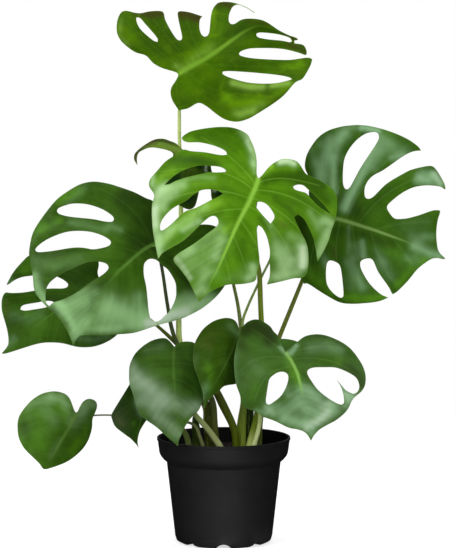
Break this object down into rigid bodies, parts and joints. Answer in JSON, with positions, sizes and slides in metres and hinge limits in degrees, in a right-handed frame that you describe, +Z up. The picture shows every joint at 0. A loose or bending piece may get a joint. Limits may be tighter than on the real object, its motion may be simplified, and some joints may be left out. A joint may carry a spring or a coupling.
{
  "type": "potted monstera plant",
  "caption": "Young monstera with split and heart-shaped leaves on long petioles, growing in soil in a tapered black nursery pot.",
  "frame": {"origin": "centre of the pot's base, on the surface it stands on", "axes": "+Z up through the pot, -Y towards the front of the plant as pictured, +X to the viewer's right"},
  "size_m": [0.5668, 0.2224, 0.6907],
  "materials": {
    "pot_plastic": "black moulded polypropylene, faintly satin, with light scuffs",
    "soil": "dark moist potting soil, crumbly, with fibres and a few white granules",
    "leaf_young": "fresh bright green leaf, waxy satin, paler veins",
    "leaf_mature": "deep green leaf, waxy satin with a grey-green sheen, paler veins",
    "petiole": "yellow-green to olive-brown fleshy stem, smooth satin"
  },
  "bodies": {
    "root": {"pot": "pot_plastic", "soil": "soil", "leaf_top": "leaf_young", "leaf_centre": "leaf_young", "leaf_right": "leaf_mature", "leaf_left": "leaf_mature", "leaf_far_left": "leaf_mature", "leaf_back": "leaf_mature", "leaf_low_far_left": "leaf_mature", "leaf_low_left_back": "leaf_mature", "leaf_low_left": "leaf_mature", "leaf_low_middle": "leaf_mature", "leaf_low_right": "leaf_mature", "leaf_low_right_back": "leaf_mature", "petiole_top": "petiole", "petiole_centre": "petiole", "petiole_right": "petiole", "petiole_left": "petiole", "petiole_far_left": "petiole", "petiole_back": "petiole", "petiole_young": "petiole", "petiole_low_far_left": "petiole", "petiole_low_left_back": "petiole", "petiole_low_left": "petiole", "petiole_low_middle": "petiole", "petiole_low_right": "petiole", "petiole_low_right_back": "petiole", "petiole_shoot": "petiole"}
  },
  "joints": []
}
